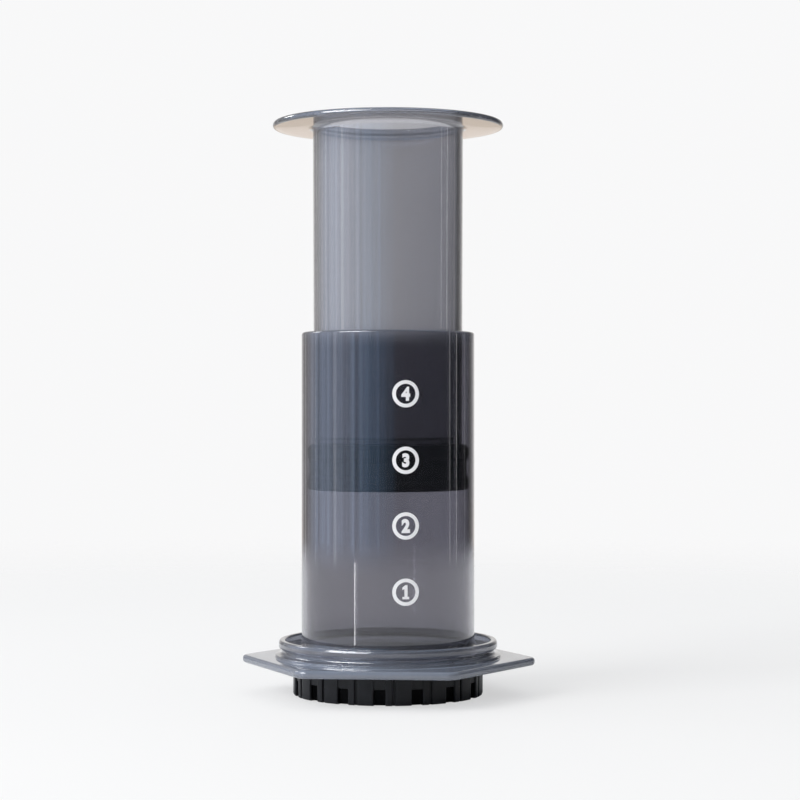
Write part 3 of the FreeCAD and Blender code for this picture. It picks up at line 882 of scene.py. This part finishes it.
def make_camera():
    """The camera at the photograph's angle."""
    data = bpy.data.cameras.new("camera")
    data.lens = FOCAL_LENGTH
    data.sensor_width = 36
    data.shift_x = 0.015
    data.shift_y = 0.006
    data.clip_start = 0.01
    camera = bpy.data.objects.new("camera", data)
    bpy.context.scene.collection.objects.link(camera)
    camera.location = around(0, CAMERA_DISTANCE, CAMERA_HEIGHT)
    camera.rotation_euler = (math.radians(90), 0, math.radians(CAMERA_TURN))
    bpy.context.scene.camera = camera


def make_lamp(name, place, target, width, height, power):
    """A soft white rectangular lamp that faces a target."""
    data = bpy.data.lights.new(name, "AREA")
    data.shape = "RECTANGLE"
    data.size = width
    data.size_y = height
    data.energy = power
    lamp = bpy.data.objects.new(name, data)
    bpy.context.scene.collection.objects.link(lamp)
    lamp.location = place
    lamp.rotation_euler = (Vector(target) - Vector(place)).to_track_quat("-Z", "Y").to_euler()
    lamp.visible_camera = False
    return lamp


def seen_straight(tree):
    """One for what the camera sees directly or through clear walls alone."""
    path = tree.nodes.new("ShaderNodeLightPath")
    bounces = math_node(tree, "ADD", path.outputs["Glossy Depth"], path.outputs["Diffuse Depth"])
    through = math_node(tree, "MULTIPLY", path.outputs["Is Transmission Ray"],
                        math_node(tree, "LESS_THAN", bounces, 0.5))
    return math_node(tree, "MAXIMUM", path.outputs["Is Camera Ray"], through)


def seen_mirrored(tree):
    """One for what is seen in a glossy face, and isn't light on a dull one."""
    path = tree.nodes.new("ShaderNodeLightPath")
    glossy = math_node(tree, "GREATER_THAN", path.outputs["Glossy Depth"], 0.5)
    undiffused = math_node(tree, "LESS_THAN", path.outputs["Diffuse Depth"], 0.5)
    return math_node(tree, "MULTIPLY", glossy, undiffused)


def shader_between(tree, factor, first, second):
    """A mix of two shaders by a factor."""
    node = tree.nodes.new("ShaderNodeMixShader")
    tree.links.new(factor, node.inputs["Fac"])
    tree.links.new(first, node.inputs[1])
    tree.links.new(second, node.inputs[2])
    return node.outputs["Shader"]


def narrow_lines(tree, axes):
    """Uneven upright lines, for reflections like those of a furnished room."""
    flat = tree.nodes.new("ShaderNodeCombineXYZ")
    tree.links.new(axes.outputs["X"], flat.inputs["X"])
    tree.links.new(axes.outputs["Y"], flat.inputs["Y"])
    lines = noise(tree, flat.outputs["Vector"], 9, 3.0, 0.7)
    return ranged(tree, lines, (0.3, 0.7), (0.35, 1.65))


def studio_level(tree, axes, left, right, above, lined):
    """Strength of the studio's light by direction, with lines in it or without."""
    side = ranged(tree, axes.outputs["X"], (-0.8, 0.3), (left, right))
    side = math_node(tree, "MULTIPLY", side,
                     ranged(tree, axes.outputs["Y"], (0.0, 0.7), (1.0, 0.25)))
    if lined:
        side = math_node(tree, "MULTIPLY", side, narrow_lines(tree, axes))
    back = math_node(tree, "MULTIPLY",
                     ranged(tree, axes.outputs["Y"], (0.75, 0.98), (0.0, 0.9)),
                     ranged(tree, axes.outputs["X"], (0.15, 0.5), (1.0, 0.35)))
    back = math_node(tree, "MULTIPLY", back,
                     ranged(tree, axes.outputs["Z"], (-0.12, -0.05), (1.08, 1.0)))
    top = ranged(tree, axes.outputs["Z"], (0.45, 0.85), (0.0, above))
    return math_node(tree, "MAXIMUM", math_node(tree, "MAXIMUM", side, back), top)


def mirrored_light(tree, axes):
    """What glossy faces show: blue on the camera's side, pale or warm beyond."""
    background = tree.nodes.new("ShaderNodeBackground")
    from_behind = ranged(tree, axes.outputs["Y"], (0.3, 0.7), (0, 1))
    before = mixed(tree, "RGBA", ranged(tree, axes.outputs["X"], (-0.8, -0.3), (0, 1)),
                   BLUE_LEFT, BLUE_RIGHT)
    beyond = mixed(tree, "RGBA", ranged(tree, axes.outputs["Z"], (-0.04, -0.12), (0, 1)),
                   PALE_HIGH, WARM_LOW)
    colour = mixed(tree, "RGBA", from_behind, before, beyond)
    tree.links.new(colour, background.inputs["Color"])
    level = studio_level(tree, axes, left=1.48, right=0.02, above=0.6, lined=True)
    tree.links.new(level, background.inputs["Strength"])
    return background.outputs["Background"]


def soft_light(tree, axes):
    """The light itself, nearly white."""
    background = tree.nodes.new("ShaderNodeBackground")
    background.inputs["Color"].default_value = SOFT_WHITE
    level = studio_level(tree, axes, left=1.55, right=0.08, above=1.0, lined=False)
    tree.links.new(level, background.inputs["Strength"])
    return background.outputs["Background"]


def make_world():
    """White where seen straight, and brighter from the left than the right as light."""
    world = bpy.data.worlds.new("studio")
    bpy.context.scene.world = world
    world.use_nodes = True
    tree = world.node_tree
    tree.nodes.clear()
    coordinates = tree.nodes.new("ShaderNodeTexCoord")
    axes = tree.nodes.new("ShaderNodeSeparateXYZ")
    tree.links.new(coordinates.outputs["Generated"], axes.inputs["Vector"])
    light = shader_between(tree, seen_mirrored(tree), soft_light(tree, axes),
                           mirrored_light(tree, axes))
    plain = tree.nodes.new("ShaderNodeBackground")
    plain.inputs["Color"].default_value = (WHITE, WHITE, WHITE * 1.005, 1)
    shown = shader_between(tree, seen_straight(tree), light, plain.outputs["Background"])
    out = tree.nodes.new("ShaderNodeOutputWorld")
    tree.links.new(shown, out.inputs["Surface"])


def floor_white():
    """White that keeps the object's shadow and fades into the background far away."""
    material, tree, shader, coordinates = new_material("floor_white")
    shader.inputs["Base Color"].default_value = FLOOR_GREY
    shader.inputs["Roughness"].default_value = 0.85
    grain = noise(tree, coordinates, 900, 3.0, 0.6)
    tree.links.new(bumped(tree, grain, 0.00002, 0.3), shader.inputs["Normal"])
    length = tree.nodes.new("ShaderNodeVectorMath")
    length.operation = "LENGTH"
    tree.links.new(coordinates, length.inputs[0])
    distance = length.outputs["Value"]
    straight = seen_straight(tree)
    faded = mixed(tree, "FLOAT", straight,
                  ranged(tree, distance, (0.55, 0.98), (0, 1), soft=True),
                  ranged(tree, distance, (0.28, 0.95), (0, 1), soft=True))
    beyond_shadow = ranged(tree, distance, (0.08, 0.25), (0, 1))
    mirrored = math_node(tree, "MULTIPLY", seen_mirrored(tree), beyond_shadow)
    seen = math_node(tree, "MAXIMUM", straight, mirrored)
    white = tree.nodes.new("ShaderNodeEmission")
    white.inputs["Color"].default_value = (WHITE, WHITE, WHITE, 1)
    lifted = shader_between(tree, math_node(tree, "MULTIPLY", seen, 0.6),
                            shader.outputs["BSDF"], white.outputs["Emission"])
    clear = tree.nodes.new("ShaderNodeBsdfTransparent")
    shown = shader_between(tree, faded, lifted, clear.outputs["BSDF"])
    tree.links.new(shown, tree.nodes["Material Output"].inputs["Surface"])
    return material


def make_floor():
    """A round white floor just under the object."""
    mesh = bmesh.new()
    bmesh.ops.create_circle(mesh, cap_ends=True, segments=96, radius=FLOOR_RADIUS)
    floor = finished(mesh, "floor", floor_white(), smooth=False)
    floor.location.z = -FLOOR_DROP


def make_strip(azimuth, distance, height, width, length, power):
    """A tall narrow lamp whose reflection is a line on the walls."""
    place = around(azimuth, distance, height)
    strip = make_lamp("strip_%d" % azimuth, place, (0, 0, height), width, length, power)
    strip.visible_diffuse = False


def make_lights():
    """A soft key from the left, two lamps seen only in gloss, and lamps for the lines."""
    make_lamp("key", around(-55, 1.3, 0.95), (0, 0, 0.08), width=0.9, height=0.7, power=13.5)
    window = make_lamp("window", around(-45, 1.3, 1.0), (0, 0, 0.08), width=1.2, height=0.7,
                       power=21.0)
    side = make_lamp("side", around(-122, 0.9, 0.62), (0, 0, 0.02), width=0.3, height=0.24,
                     power=1.8)
    for lamp in (window, side):
        lamp.visible_diffuse = False
        lamp.visible_transmission = False
    for azimuth, width, power in ((-73, 0.06, 0.10), (-140, 0.03, 0.03), (-110, 0.012, 0.03),
                                  (88, 0.014, 0.05), (101, 0.014, 0.06), (121, 0.012, 0.015)):
        make_strip(azimuth, STRIP_DISTANCE, STRIP_HEIGHT, width, STRIP_LENGTH, power)
    make_strip(-41, 0.22, 0.018, width=0.009, length=0.036, power=0.011)


# The pieces


SMOKE = smoky_plastic("smoky_tube", TUBE_TINT, RING_TINT, (0.98, 0.6), thick_ring)
SMOKE_PLUNGER = smoky_plastic("smoky_plunger", PLUNGER_TINT, FLANGE_TINT, (0.85, 0.9),
                              thick_flange)
BLACK = black_plastic("black_cap")
RUBBER = black_rubber("black_rubber")
PAPER_LOOK = filter_paper("paper")
INK = white_ink("ink")


def make_brewing_tube():
    """The brewing tube in place of its solid."""
    edges = []
    for sixth in range(6):
        for edge in (-LEDGE_HALF_ANGLE, LEDGE_HALF_ANGLE, STOP_ANGLE - STOP_HALF_ANGLE):
            edges.append(SIXTH * sixth + edge)
    corners = [SIXTH * sixth for sixth in range(6)]
    angles = column_angles(1.2, edges, 0.2, corners, 4.5)
    piece = finished(turned(brewing_tube_profile, angles), "brewing_tube", SMOKE)
    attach(piece, "chamber")
    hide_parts("chamber")


def make_plunger():
    """The plunger in place of its solid."""
    angles = column_angles(1.0)
    piece = finished(turned(plunger_profile, angles), "plunger_tube", SMOKE_PLUNGER)
    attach(piece, "plunger")
    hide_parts("plunger")


def make_seal():
    """The rubber seal in place of its solid."""
    piece = finished(turned(seal_profile, column_angles(2.0)), "rubber_seal", RUBBER)
    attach(piece, "seal")
    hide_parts("plunger_seal")


def make_cap():
    """The filter cap in place of its solid."""
    edges = []
    period = 360 / WINDOWS
    for index in range(WINDOWS):
        for edge in (-WINDOW_HALF_ANGLE, WINDOW_HALF_ANGLE,
                     GROOVE_TURN - GROOVE_HALF_ANGLE, GROOVE_TURN + GROOVE_HALF_ANGLE):
            edges.append(period * index + edge)
    for sixth in range(6):
        edges += [SIXTH * sixth - LUG_HALF_ANGLE, SIXTH * sixth + LUG_HALF_ANGLE]
    angles = column_angles(1.5, edges, 0.14)
    mesh = turned(cap_profile, angles)
    add_perforated_floor(mesh, angles)
    piece = finished(mesh, "black_cap", BLACK)
    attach(piece, "cap")
    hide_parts("filter_cap")


def make_paper():
    """The paper filter in place of its solid."""
    piece = finished(turned(paper_profile, column_angles(2.0)), "round_paper", PAPER_LOOK)
    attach(piece, "cap")
    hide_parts("paper_filter")


def make_print():
    """The ringed numbers, in ink on the tube."""
    for text, height in PRINT_HEIGHTS:
        mesh = bmesh.new()
        place = (PRINT_ANGLE, height)
        add_ink_ring(mesh, place)
        add_ink_digit(mesh, text, place)
        piece = finished(mesh, "number_" + text, INK, smooth=False)
        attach(piece, "chamber")


make_brewing_tube()
make_plunger()
make_seal()
make_cap()
make_paper()
make_print()
make_floor()
make_world()
make_lights()
make_camera()
bpy.context.scene.view_settings.view_transform = "Standard"
bpy.context.view_layer.update()
